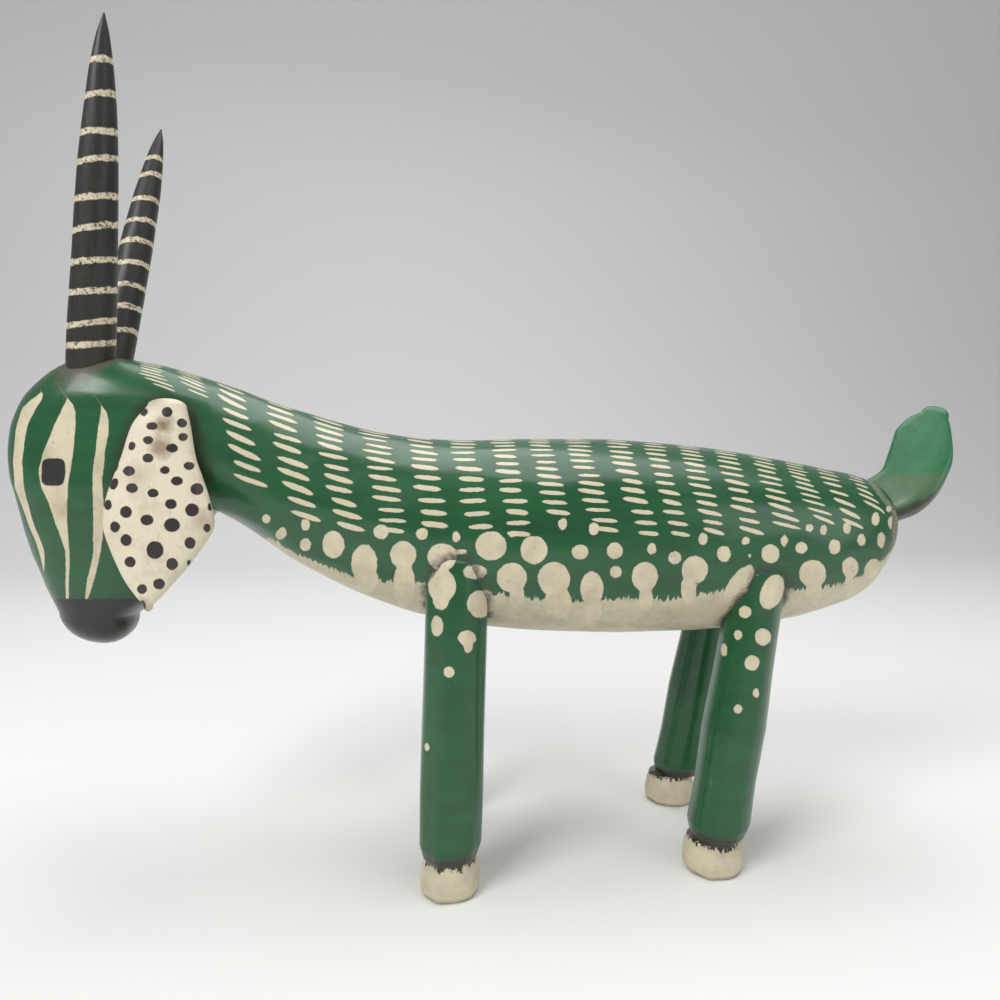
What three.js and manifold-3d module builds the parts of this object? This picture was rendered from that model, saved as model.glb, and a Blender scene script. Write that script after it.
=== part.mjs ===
// A carved and painted wooden antelope that stands on its own four legs.
// Millimetres, Z up. The nose points to -X, the tail to +X, and the animal's left side is -Y.
// The trunk, neck and head are one log. Legs, horns, ears and tail are let into it.
import * as THREE from 'three';
import { mergeVertices } from 'three/addons/utils/BufferGeometryUtils.js';
import Module from 'manifold-3d';

const wasm = await Module();
wasm.setup();

// Clearance between a let-in piece and its socket.
const GAP = 0.3;

// Sections of the log from the rump to the lips. Each one spans from its upper to its lower
// point, both [x, z], with the half width across it. square is 2 on an ellipse and more on a
// boxier section, and egg narrows the upper end of a section by that share.
const LOG = [
  { upper: [336, 293], lower: [335, 258], half: 21, square: 2.0, egg: 0.0 },
  { upper: [327, 309], lower: [324, 237], half: 37, square: 2.0, egg: 0.0 },
  { upper: [307, 319], lower: [302, 213], half: 51, square: 2.1, egg: 0.0 },
  { upper: [270, 327], lower: [262, 199], half: 63, square: 2.1, egg: 0.0 },
  { upper: [200, 340], lower: [198, 188], half: 72, square: 2.1, egg: 0.0 },
  { upper: [110, 350], lower: [110, 185], half: 77, square: 2.1, egg: 0.0 },
  { upper: [10, 352], lower: [10, 189], half: 77, square: 2.1, egg: 0.0 },
  { upper: [-60, 351], lower: [-62, 200], half: 73, square: 2.1, egg: 0.0 },
  { upper: [-125, 360], lower: [-128, 222], half: 63, square: 2.1, egg: 0.02 },
  { upper: [-185, 377], lower: [-182, 251], half: 54, square: 2.1, egg: 0.04 },
  { upper: [-240, 397], lower: [-231, 286], half: 49, square: 2.2, egg: 0.04 },
  { upper: [-292, 411], lower: [-246, 294], half: 49, square: 2.8, egg: 0.03 },
  { upper: [-343, 414], lower: [-252, 291], half: 50, square: 3.1, egg: 0.04 },
  { upper: [-383, 387], lower: [-255, 277], half: 49, square: 2.8, egg: 0.1 },
  { upper: [-400, 347], lower: [-261, 262], half: 47, square: 2.5, egg: 0.14 },
  { upper: [-391, 284], lower: [-274, 242], half: 42, square: 2.5, egg: 0.12 },
  { upper: [-376, 234], lower: [-295, 221], half: 34, square: 2.5, egg: 0.08 },
  { upper: [-367.5, 214.5], lower: [-310, 208], half: 29, square: 2.3, egg: 0.05 },
];
const RUMP_CAP = [4, 1];
const LIP_CAP = [1, -26];
const LOG_AROUND = 28;
const LOG_BETWEEN = 3;

// Legs, as [height, radius] from the sole up: the hoof, the rim above it and the shank.
const HOOF_PROFILE = [[0, 21.5], [4, 23.8], [11, 24.4], [20, 22.8], [27, 20.2]];
const RIM_PROFILE = [[29.5, 22.2], [38, 25]];
const LEG_SIDES = 16;
const FRONT_LEG = { top: 264, profile: [[75, 25.6], [150, 25.4], [225, 25.2]] };
const HIND_LEG = { top: 251, profile: [[70, 24], [115, 25], [160, 23.4], [210, 22.4]] };
// The foot is the lower end of the shank, [x, y], and the toe is how far the hoof is before it.
const LEGS = [
  { name: 'leg_front_left', shape: FRONT_LEG, foot: [-59, -68.5], hip: [-50, -48], toe: 0 },
  { name: 'leg_front_right', shape: FRONT_LEG, foot: [-53, 68.5], hip: [-44, 48], toe: 0 },
  { name: 'leg_hind_left', shape: HIND_LEG, foot: [160, -60], hip: [203, -46.5], toe: 3 },
  { name: 'leg_hind_right', shape: HIND_LEG, foot: [170, 65], hip: [211, 46.5], toe: 7 },
];

// Horns: whittled cones, round at the base and pointed at the tip.
const HORN_SIDES = 10;
const HORN_TAPER = [[0, 1], [0.2, 0.95], [0.4, 0.88], [0.6, 0.77], [0.78, 0.58], [0.92, 0.32]];
const HORN_SEAT = 30;
const HORNS = [
  { name: 'horn_left', base: [-330.5, -22, 416], tip: [-301, -54, 652], radius: 17.4 },
  { name: 'horn_right', base: [-331.5, 22, 416], tip: [-305, 78, 625], radius: 15.5 },
];

// Ears: thick leaf-shaped slabs, given by their front and back edges in side view.
const EAR = [
  { upper: [-280, 375], lower: [-252, 374], half: 7 },
  { upper: [-290, 362], lower: [-249, 361], half: 9 },
  { upper: [-299, 335], lower: [-244.5, 335], half: 10 },
  { upper: [-309, 306], lower: [-235, 306], half: 11 },
  { upper: [-311, 288], lower: [-232, 285], half: 11 },
  { upper: [-305, 267], lower: [-242, 267], half: 10 },
  { upper: [-293, 243], lower: [-261, 243], half: 8 },
  { upper: [-282, 228], lower: [-275, 228], half: 4 },
];
const EAR_SQUARE = 2.2;
const EAR_AROUND = 14;
const EARS = [
  { name: 'ear_left', side: -1, size: 1, swing: 0 },
  { name: 'ear_right', side: 1, size: 0.86, swing: 0.42 },
];
// Each ear turns about its nail, [x, y, z], and its tip stands away from the cheek.
const EAR_NAIL = [-269.5, 55.5, 346];
const EAR_SPREAD = 0.1;

// Tail: a leaf-shaped paddle, given by its back and front edges in side view.
const TAIL = [
  { upper: [343, 276], lower: [322, 315], half: 11 },
  { upper: [360, 282.5], lower: [334, 323], half: 11 },
  { upper: [375.5, 296], lower: [340, 336], half: 10 },
  { upper: [385, 312], lower: [345, 350], half: 9 },
  { upper: [392, 330], lower: [351, 364.5], half: 7.5 },
  { upper: [393.7, 350], lower: [361, 374], half: 6 },
  { upper: [393, 368], lower: [372, 378.5], half: 5 },
];
const TAIL_SQUARE = 4;
const TAIL_AROUND = 16;
const TAIL_ROOT = [330, 0, 304];
const TAIL_LEAN = [0.62, 0, 0.78];
const TAIL_ROLL = -0.8;

const GREEN = new THREE.MeshStandardMaterial({ color: 0x14613a, roughness: 0.35, metalness: 0 });
const BLACK = new THREE.MeshStandardMaterial({ color: 0x1c1a18, roughness: 0.5, metalness: 0 });
const WHITE = new THREE.MeshStandardMaterial({ color: 0xd8d3bf, roughness: 0.55, metalness: 0 });

// A closed skin over rings of points that all have the same count, with a point at each end.
function skin(rings, first, last) {
  const around = rings[0].length;
  const positions = [first, ...rings.flat(), last].flatMap((point) => point.toArray());
  const end = rings.length * around + 1;
  const triangles = [];
  for (let i = 0; i < around; i += 1) {
    const next = (i + 1) % around;
    triangles.push(0, 1 + next, 1 + i);
    triangles.push(end, end - around + i, end - around + next);
    for (let ring = 0; ring < rings.length - 1; ring += 1) {
      const here = 1 + ring * around;
      const there = here + around;
      triangles.push(here + i, there + next, there + i);
      triangles.push(here + i, here + next, there + next);
    }
  }
  const geometry = new THREE.BufferGeometry();
  geometry.setAttribute('position', new THREE.Float32BufferAttribute(positions, 3));
  geometry.setIndex(triangles);
  return geometry;
}

// One ring of a section: a superellipse between the upper and the lower point, across Y.
function sectionRing(upper, lower, size, around) {
  const middle = upper.clone().add(lower).multiplyScalar(0.5);
  const reach = upper.clone().sub(middle);
  const [half, square, egg] = size.toArray();
  const ring = [];
  for (let i = 0; i < around; i += 1) {
    const angle = (i / around) * 2 * Math.PI;
    const along = Math.sign(Math.sin(angle)) * Math.abs(Math.sin(angle)) ** (2 / square);
    const across = Math.sign(Math.cos(angle)) * Math.abs(Math.cos(angle)) ** (2 / square);
    const point = middle.clone().addScaledVector(reach, along);
    point.y = -half * across * (1 - egg * along);
    ring.push(point);
  }
  return ring;
}

// A body lofted through sections, with a rounded cap of the given reach, [x, z], at each end.
function loft(sections, around, between, firstCap, lastCap) {
  const rail = (key) => new THREE.CatmullRomCurve3(
    sections.map((section) => new THREE.Vector3(section[key][0], 0, section[key][1])),
  );
  const sizes = new THREE.CatmullRomCurve3(
    sections.map((section) => new THREE.Vector3(section.half, section.square, section.egg)),
  );
  const upperRail = rail('upper');
  const lowerRail = rail('lower');
  const steps = (sections.length - 1) * between;
  const rings = [];
  for (let i = 0; i <= steps; i += 1) {
    const t = i / steps;
    const ring = sectionRing(upperRail.getPoint(t), lowerRail.getPoint(t), sizes.getPoint(t), around);
    rings.push(ring);
  }
  const firstRings = capRings(rings[0], firstCap).reverse();
  const lastRings = capRings(rings.at(-1), lastCap);
  const first = capTip(rings[0], firstCap);
  const last = capTip(rings.at(-1), lastCap);
  return skin([...firstRings, ...rings, ...lastRings], first, last);
}

function ringCentre(ring) {
  const sum = ring.reduce((total, point) => total.add(point), new THREE.Vector3());
  return sum.divideScalar(ring.length);
}

function capTip(ring, reach) {
  return ringCentre(ring).add(new THREE.Vector3(reach[0], 0, reach[1]));
}

// Rings that shrink from the given one to its cap's tip along an ellipse.
function capRings(ring, reach) {
  const centre = ringCentre(ring);
  const tip = capTip(ring, reach);
  return [0.22, 0.42, 0.6, 0.76, 0.9].map((share) => {
    const angle = (share * Math.PI) / 2;
    const middle = centre.clone().lerp(tip, Math.sin(angle));
    return ring.map((point) => point.clone().sub(centre).multiplyScalar(Math.cos(angle)).add(middle));
  });
}

// A turned shape on an axis that leans: profile holds [height, radius], rising from z = 0.
function turned(profile, sides, axisAt) {
  const outline = profile.map(([height, radius]) => new THREE.Vector2(radius, height));
  const geometry = new THREE.LatheGeometry(outline, sides);
  geometry.rotateX(Math.PI / 2);
  const position = geometry.getAttribute('position');
  for (let i = 0; i < position.count; i += 1) {
    const centre = axisAt(position.getZ(i));
    position.setXYZ(
      i,
      position.getX(i) + centre.x,
      position.getY(i) + centre.y,
      position.getZ(i) + centre.z,
    );
  }
  return geometry;
}

function legGeometry({ shape, foot, hip, toe }, grow) {
  const body = [...HOOF_PROFILE, ...RIM_PROFILE, ...shape.profile];
  const profile = [
    [-grow, 0],
    ...body.map(([height, radius], i) => [i ? height : -grow, radius + grow]),
    [shape.top - 8, 24 + grow],
    [shape.top - 1.5, 19 + grow],
    [shape.top + grow, 12 + grow],
    [shape.top + grow, 0],
  ];
  const lean = new THREE.Vector2(hip[0] - foot[0], hip[1] - foot[1]).divideScalar(shape.top);
  return turned(profile, LEG_SIDES, (height) => {
    const rise = height - HOOF_PROFILE.at(-1)[0];
    if (rise <= 0) {
      return new THREE.Vector3(foot[0] - toe, foot[1], 0);
    }
    return new THREE.Vector3(foot[0] + lean.x * rise, foot[1] + lean.y * rise, 0);
  });
}

function hornGeometry({ base, tip, radius }, grow) {
  const start = new THREE.Vector3(...base);
  const axis = new THREE.Vector3(...tip).sub(start);
  const length = axis.length();
  const profile = [
    [-HORN_SEAT - grow, 0],
    [-HORN_SEAT - grow, radius + grow],
    ...HORN_TAPER.map(([share, width]) => [share * length, radius * width + grow]),
    [length + grow, 0],
  ];
  const geometry = turned(profile, HORN_SIDES, () => new THREE.Vector3());
  const turn = new THREE.Quaternion();
  turn.setFromUnitVectors(new THREE.Vector3(0, 0, 1), axis.normalize());
  geometry.applyQuaternion(turn);
  geometry.translate(start.x, start.y, start.z);
  return geometry;
}

// Sections made wider by grow all round, with the same squareness for all of them.
function grown(sections, square, grow) {
  return sections.map((section) => {
    const upper = new THREE.Vector2(...section.upper);
    const lower = new THREE.Vector2(...section.lower);
    const wider = upper.clone().sub(lower).setLength(grow);
    return {
      upper: upper.add(wider).toArray(),
      lower: lower.sub(wider).toArray(),
      half: section.half + grow,
      square,
      egg: 0,
    };
  });
}

function earGeometry({ side, size, swing }, grow) {
  const sections = grown(EAR, EAR_SQUARE, grow);
  const geometry = loft(sections, EAR_AROUND, 2, [0, 6 + grow], [0, -5 - grow]);
  const [x, out, z] = EAR_NAIL;
  geometry.translate(-x, 0, -z);
  geometry.scale(size, 1, size);
  geometry.rotateY(swing);
  geometry.rotateX(side * EAR_SPREAD);
  geometry.translate(x, side * out, z);
  return geometry;
}

function tailGeometry(grow) {
  const root = new THREE.Vector3(...TAIL_ROOT);
  const axis = new THREE.Vector3(...TAIL_LEAN).normalize();
  const sections = grown(TAIL, TAIL_SQUARE, grow);
  const geometry = loft(sections, TAIL_AROUND, 2, [-10 - grow, -8], [4, 8.5 + grow]);
  geometry.translate(-root.x, 0, -root.z);
  geometry.applyQuaternion(new THREE.Quaternion().setFromAxisAngle(axis, TAIL_ROLL));
  geometry.translate(root.x, 0, root.z);
  return geometry;
}

function solidOf(geometry) {
  const bare = geometry.clone();
  bare.deleteAttribute('normal');
  bare.deleteAttribute('uv');
  const merged = mergeVertices(bare, 1e-3);
  const vertProperties = new Float32Array(merged.getAttribute('position').array);
  const triVerts = new Uint32Array(merged.getIndex().array);
  return new wasm.Manifold(new wasm.Mesh({ numProp: 3, vertProperties, triVerts }));
}

function geometryOf(solid) {
  const mesh = solid.getMesh();
  const geometry = new THREE.BufferGeometry();
  geometry.setAttribute('position', new THREE.Float32BufferAttribute(mesh.vertProperties, 3));
  geometry.setIndex([...mesh.triVerts]);
  geometry.computeVertexNormals();
  return geometry;
}

const sculpture = new THREE.Group();

function place(name, geometry, material) {
  const mesh = new THREE.Mesh(geometry, material);
  mesh.name = name;
  sculpture.add(mesh);
}

let log = solidOf(loft(LOG, LOG_AROUND, LOG_BETWEEN, RUMP_CAP, LIP_CAP));
for (const leg of LEGS) {
  log = log.subtract(solidOf(legGeometry(leg, GAP)));
  place(leg.name, geometryOf(solidOf(legGeometry(leg, 0))), GREEN);
}
for (const horn of HORNS) {
  log = log.subtract(solidOf(hornGeometry(horn, GAP)));
  place(horn.name, geometryOf(solidOf(hornGeometry(horn, 0))), BLACK);
}
for (const ear of EARS) {
  log = log.subtract(solidOf(earGeometry(ear, GAP)));
  place(ear.name, geometryOf(solidOf(earGeometry(ear, 0))), WHITE);
}
log = log.subtract(solidOf(tailGeometry(GAP)));
place('tail', geometryOf(solidOf(tailGeometry(0))), GREEN);
place('body', geometryOf(log), GREEN);

// The origin is midway along and across, on the ground.
const extent = new THREE.Box3().setFromObject(sculpture);
const middle = extent.getCenter(new THREE.Vector3());
sculpture.position.set(-middle.x, -middle.y, -extent.min.z);

export default sculpture;
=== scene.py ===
"""A carved and painted wooden antelope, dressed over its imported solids."""
import math

import bpy
import numpy as np
from mathutils import Euler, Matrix, Quaternion, Vector, noise
from mathutils.bvhtree import BVHTree


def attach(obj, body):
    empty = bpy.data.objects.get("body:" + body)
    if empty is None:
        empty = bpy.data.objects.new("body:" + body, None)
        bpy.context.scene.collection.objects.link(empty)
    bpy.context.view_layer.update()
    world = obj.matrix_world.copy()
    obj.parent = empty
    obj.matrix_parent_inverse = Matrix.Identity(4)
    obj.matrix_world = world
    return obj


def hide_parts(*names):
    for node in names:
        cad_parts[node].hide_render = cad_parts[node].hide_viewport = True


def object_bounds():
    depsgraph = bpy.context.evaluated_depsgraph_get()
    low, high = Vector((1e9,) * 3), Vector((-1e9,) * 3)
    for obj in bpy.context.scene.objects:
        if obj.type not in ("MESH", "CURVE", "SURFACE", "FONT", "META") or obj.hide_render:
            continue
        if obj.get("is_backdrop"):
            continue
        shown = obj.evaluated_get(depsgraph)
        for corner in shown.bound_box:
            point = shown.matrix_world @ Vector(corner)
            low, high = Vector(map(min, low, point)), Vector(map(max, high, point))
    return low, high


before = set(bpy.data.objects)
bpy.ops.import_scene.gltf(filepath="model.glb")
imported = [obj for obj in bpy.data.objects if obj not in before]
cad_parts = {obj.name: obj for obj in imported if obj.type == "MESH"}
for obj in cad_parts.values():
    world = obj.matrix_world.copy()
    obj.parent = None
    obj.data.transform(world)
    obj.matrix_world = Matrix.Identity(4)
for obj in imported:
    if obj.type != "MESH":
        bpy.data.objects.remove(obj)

CAD_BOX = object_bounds()
MM = 0.001

# The camera of the photograph, in millimetres, degrees and pixels of a 1000 x 1000 picture.
CAMERA_FROM_DRAWING = np.array((-81.98, -642.32, 342.07))
CAMERA_TURN = 6.2
CAMERA_DIP = 3.764
FOCAL = 760.0
PICTURE = 1000.0

# The figure is drawn in millimetres. Its middle is this far along x in the drawing.
DRAWN_MIDDLE = -3.417
CAMERA_AT = CAMERA_FROM_DRAWING - (DRAWN_MIDDLE, 0, 0)

# Sections of the log from rump to lips: upper x, z, lower x, z, half width, squareness, egg.
LOG = np.array((
    (336, 293, 335, 258, 21, 2.0, 0.0),
    (327, 309, 324, 237, 37, 2.0, 0.0),
    (307, 319, 302, 213, 51, 2.1, 0.0),
    (270, 327, 262, 199, 63, 2.1, 0.0),
    (200, 340, 198, 188, 72, 2.1, 0.0),
    (110, 350, 110, 185, 77, 2.1, 0.0),
    (10, 352, 10, 189, 77, 2.1, 0.0),
    (-60, 351, -62, 200, 73, 2.1, 0.0),
    (-125, 360, -128, 222, 63, 2.1, 0.02),
    (-185, 377, -182, 251, 54, 2.1, 0.04),
    (-240, 397, -231, 286, 49, 2.2, 0.04),
    (-292, 411, -246, 294, 49, 2.8, 0.03),
    (-343, 414, -252, 291, 50, 3.1, 0.04),
    (-383, 387, -255, 277, 49, 2.8, 0.1),
    (-400, 347, -261, 262, 47, 2.5, 0.14),
    (-391, 284, -274, 242, 42, 2.5, 0.12),
    (-376, 234, -295, 221, 34, 2.5, 0.08),
    (-367.5, 214.5, -310, 208, 29, 2.3, 0.05),
))
RUMP_CAP = (4, 0, 1)
LIP_CAP = (1, 0, -26)

# Ear, from its top down, in the same way as the log. The far one is smaller and swung back.
EAR = np.array((
    (-280, 375, -252, 374, 7, 2.2, 0),
    (-290, 362, -249, 361, 9, 2.2, 0),
    (-299, 335, -244.5, 335, 10, 2.2, 0),
    (-309, 306, -235, 306, 11, 2.2, 0),
    (-311, 288, -232, 285, 11, 2.2, 0),
    (-305, 267, -242, 267, 10, 2.2, 0),
    (-293, 243, -261, 243, 8, 2.2, 0),
    (-282, 228, -275, 228, 4, 2.2, 0),
))
EAR_NAIL = np.array((-269.5, 55.5, 346))
EAR_SPREAD = 0.1
FAR_EAR_SIZE = 0.86
FAR_EAR_SWING = 0.42

# Tail, from its root up.
TAIL = np.array((
    (343, 276, 322, 315, 11, 4, 0),
    (360, 282.5, 334, 323, 11, 4, 0),
    (375.5, 296, 340, 336, 10, 4, 0),
    (385, 312, 345, 350, 9, 4, 0),
    (392, 330, 351, 364.5, 7.5, 4, 0),
    (393.7, 350, 361, 374, 6, 4, 0),
    (393, 368, 372, 378.5, 5, 4, 0),
))
TAIL_ROOT = np.array((330, 0, 304))
TAIL_LEAN = (0.62, 0, 0.78)
TAIL_ROLL = -0.8

# Legs: height and radius from the sole up.
HOOF = ((0, 21.5), (4, 23.8), (11, 24.4), (20, 22.8), (27, 20.2), (29.5, 22.2), (38, 25))
HOOF_TOP = 27
FRONT_SHANK = ((75, 25.6), (150, 25.4), (225, 25.2))
HIND_SHANK = ((70, 24), (115, 25), (160, 23.4), (210, 22.4))
LEGS = {
    "front_left": dict(shank=FRONT_SHANK, top=264, foot=(-59, -68.5), hip=(-50, -48), toe=0),
    "front_right": dict(shank=FRONT_SHANK, top=264, foot=(-53, 68.5), hip=(-44, 48), toe=0),
    "hind_left": dict(shank=HIND_SHANK, top=251, foot=(160, -60), hip=(203, -46.5), toe=3),
    "hind_right": dict(shank=HIND_SHANK, top=251, foot=(170, 65), hip=(211, 46.5), toe=7),
}

# Horns: where each leaves the crown, its tip, and its radius there.
HORNS = {
    "left": dict(base=(-330.5, -22, 416), tip=(-301, -54, 652), radius=17.4),
    "right": dict(base=(-331.5, 22, 416), tip=(-305, 78, 625), radius=15.5),
}
HORN_SEAT = 30
HORN_TAPER = ((0, 1), (0.2, 0.95), (0.4, 0.88), (0.6, 0.77), (0.78, 0.58), (0.92, 0.32), (1, 0.05))

# Painted rings on the horns, as the picture height of each one's middle.
NEAR_RINGS = (67.6, 104.6, 139, 168, 203, 232.7, 264, 293, 324, 344)
FAR_RINGS = (168.4, 187.5, 210.5, 231, 251, 271.7, 293.4, 313.8, 338)

# Brushed dashes on the back: x, y of the first and of the last dash in the picture, and how many.
DASH_COLUMNS = (
    (150, 374, 164, 386, 3), (192, 382, 198, 393, 3), (229, 393, 252, 483, 8),
    (281, 410, 306, 515, 10), (326, 424, 348, 527, 11), (375, 435, 394, 531, 12),
    (421, 441, 434, 524, 10), (462, 441, 480, 526, 11), (504, 442, 520, 534, 12),
    (540, 442, 558, 511, 11), (576, 443, 606, 528, 13), (618, 441, 650, 532, 13),
    (655, 446, 680, 533, 12), (690, 450, 716, 533, 12), (727, 456, 752, 531, 10),
    (765, 462, 787, 527, 10), (796, 467, 825, 519, 10), (823, 466, 853, 522, 9),
    (857, 475, 878, 508, 7), (869, 479, 892, 509, 6),
)

# Daubed spots in the picture: x, y, width, height, lean in degrees.
SPOTS = (
    (333, 545, 22, 28, 0), (364, 564, 26, 38, 0), (367, 580, 22, 24, 0), (403, 555, 26, 27, 0),
    (404, 584, 21, 46, 0), (442, 557, 29, 27, 0), (442, 586, 28, 32, 0), (441, 600, 16, 20, 0),
    (491, 546, 31, 29, 0), (475, 572, 24, 14, 0), (480, 604, 26, 27, 0), (512, 578, 30, 30, 0),
    (517, 597, 15, 24, 0), (534, 550, 27, 28, 0), (554, 579, 32, 34, 0), (558, 603, 27, 32, 0),
    (580, 552, 17, 15, 0), (592, 589, 23, 34, 0), (593, 610, 17, 30, 0), (615, 551, 16, 17, 0),
    (616, 572, 12, 12, 0), (645, 577, 26, 30, 0), (646, 599, 14, 26, 0), (652, 549, 9, 12, 0),
    (675, 558, 13, 13, 0), (695, 570, 26, 28, 0), (689, 589, 15, 30, 0), (724, 554, 14, 16, 0),
    (739, 584, 18, 44, 38), (771, 554, 18, 19, 0), (772, 592, 22, 36, 22), (813, 574, 27, 28, 0),
    (814, 592, 16, 24, 0), (851, 568, 16, 22, 0), (850, 586, 9, 24, 0), (872, 569, 13, 21, 25),
    (266, 519, 9, 9, 0), (281, 534, 10, 13, 30), (305, 525, 9, 12, 0), (305, 545, 11, 13, 0),
    (381, 532, 15, 15, 0), (422, 534, 12, 12, 0), (456, 537, 8, 11, 0), (461, 552, 12, 5, 0),
    (513, 534, 8, 6, 0), (563, 524, 9, 12, 0), (594, 529, 10, 13, 0), (703, 539, 9, 12, 0),
    (746, 541, 8, 8, 0), (750, 556, 4, 4, 0), (785, 541, 7, 11, 0), (802, 548, 12, 12, 0),
    (835, 547, 12, 15, 0), (810, 528, 8, 8, 0), (824, 530, 7, 11, 0), (848, 528, 8, 12, 0),
    (862, 540, 8, 12, 0), (882, 540, 8, 16, 0), (876, 519, 8, 13, 0), (891, 522, 4, 12, 0),
    (889, 509, 5, 6, 0), (437, 626, 12, 20, 0), (467, 638, 18, 15, 0), (468, 646, 9, 14, 0),
    (449, 672, 11, 11, 0), (427, 747, 5, 8, 0), (745, 612, 13, 12, 0), (738, 635, 8, 10, 0),
    (763, 637, 16, 17, 0), (724, 650, 6, 13, 0), (752, 663, 15, 15, 0), (756, 693, 7, 9, 0),
    (738, 709, 9, 9, 0),
)

# Upper edge of the white belly in the picture, from chest to rump.
BELLY_EDGE = np.array((
    (262, 537), (277, 541), (297, 555), (319, 564), (344, 573), (367, 582), (414, 582), (500, 594),
    (528, 597), (572, 603), (608, 600), (627, 597), (659, 600), (687, 597), (719, 590), (760, 590),
    (791, 590), (815, 589), (840, 584), (863, 576), (882, 562), (892, 548),
))

# Stripes down the side of the face in the picture: height, left edge, right edge.
FACE_STRIPES = {
    "nose": np.array((
        (391, 42, 43), (400, 30, 41), (408, 21, 35), (424, 16, 27), (440, 13.5, 24),
        (462, 12, 21.7), (488, 15, 24), (503, 20, 27), (519, 25.5, 31), (539, 33.5, 39),
        (551, 37.6, 43), (564, 41.5, 44), (573, 43, 43.2),
    )),
    "eye": np.array((
        (399, 67, 69), (408, 62, 75), (424, 54, 75), (440, 48, 74), (456, 41.5, 72),
        (472, 38.3, 69.5), (488, 41.5, 67.6), (503, 48, 66.5), (519, 53.6, 66.3),
        (535, 59.6, 67.6), (551, 64.5, 68.6), (567, 65.4, 69), (583, 65.4, 68.6), (600, 65.5, 68),
    )),
    "cheek": np.array((
        (404, 101, 103), (417, 99.5, 107.8), (433, 97.3, 108.4), (449, 95.7, 105),
        (465, 93, 103.6), (478, 92.5, 102), (500, 92.5, 103), (519, 93, 103), (539, 92.5, 102),
        (551, 93.4, 100.4), (567, 90, 97), (583, 86.7, 93.4), (600, 84.5, 87),
    )),
}
EYE_DOT = (53, 472, 24, 28)
MUZZLE_LINE = 599

# Dots on the ear in the picture, in the same way as the daubed spots.
EAR_DOTS = (
    (144, 412, 8, 8, 0), (167, 412, 11, 10, 0), (152, 426, 11, 8, 0), (182, 423, 10, 9, 0),
    (148, 440, 11, 8, 0), (183, 437, 10, 8, 0), (132, 446, 7, 9, 20), (172, 448, 12, 9, 0),
    (148, 458, 11, 9, 0), (189, 466, 11, 8, 0), (116, 466, 5, 11, 15), (129, 471, 12, 10, 0),
    (165, 470, 10, 8, 0), (177, 481, 12, 9, 0), (114, 484, 8, 12, 25), (132, 488, 12, 10, 0),
    (153, 493, 11, 9, 0), (197, 489, 13, 12, 0), (171, 504, 12, 10, 0), (108, 505, 8, 10, 0),
    (126, 512, 12, 12, 0), (210, 507, 5, 8, 0), (192, 510, 14, 13, 0), (147, 520, 13, 11, 0),
    (172, 525, 16, 14, 0), (115, 527, 10, 11, 0), (207, 528, 7, 9, 0), (126, 540, 11, 12, 0),
    (190, 543, 11, 12, 0), (155, 550, 17, 18, 0), (130, 562, 11, 11, 0), (172, 564, 12, 12, 0),
    (189, 563, 4, 7, 0), (159, 584, 12, 11, 0), (142, 589, 10, 10, 0), (142, 606, 8, 11, 0),
)


# Stains on the ear by its nail, and painted shade along its lower right rim, in the picture: x, y,
# reach, strength.
EAR_STAINS_AND_RIM_SHADE = (
    (163, 424, 12, 0.9), (160, 447, 14, 0.75), (137, 476, 18, 0.35), (155, 402, 14, 0.5),
    (202, 520, 16, 0.5), (142, 608, 12, 0.7),
)

# Depth of the shallow blade cuts in the log, in millimetres.
LOG_CUT = 0.9


# ---- Where things are in the picture ----

def camera_axes():
    turn, dip = math.radians(CAMERA_TURN), math.radians(CAMERA_DIP)
    ahead = np.array((
        math.sin(turn) * math.cos(dip), math.cos(turn) * math.cos(dip), -math.sin(dip),
    ))
    right = np.array((math.cos(turn), -math.sin(turn), 0.0))
    return right, np.cross(right, ahead), ahead


def in_picture(points):
    """Picture place of points, as the camera sees them."""
    right, up, ahead = camera_axes()
    away = points * (1, 1, 1) - CAMERA_AT
    depth = away @ ahead
    return PICTURE / 2 + FOCAL * np.stack([away @ right, -(away @ up)], -1) / depth[:, None]


def on_left(points):
    """The same points with those of the right side mirrored to the left."""
    return np.stack([points[:, 0], -np.abs(points[:, 1]), points[:, 2]], -1)


def facing(points, normals):
    """How squarely each point of either side faces the camera, when mirrored to the left."""
    side = np.where(points[:, 1] > 0, -1.0, 1.0)
    mirrored = normals * np.stack([np.ones_like(side), side, np.ones_like(side)], -1)
    to_camera = CAMERA_AT - on_left(points)
    to_camera /= np.linalg.norm(to_camera, axis=1, keepdims=True)
    return (mirrored * to_camera).sum(1)


def daubs(look, marks):
    """Distance in pixels from each place in the picture to the nearest daub, negative inside."""
    nearest = np.full(len(look), 100.0)
    for x, y, wide, high, lean in marks:
        turn = math.radians(lean)
        across = (look[:, 0] - x) * math.cos(turn) + (look[:, 1] - y) * math.sin(turn)
        down = (look[:, 1] - y) * math.cos(turn) - (look[:, 0] - x) * math.sin(turn)
        reach = np.hypot(across / wide, down / high) * 2
        nearest = np.minimum(nearest, (reach - 1) * min(wide, high) / 2)
    return nearest


# ---- Forms ----

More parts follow.
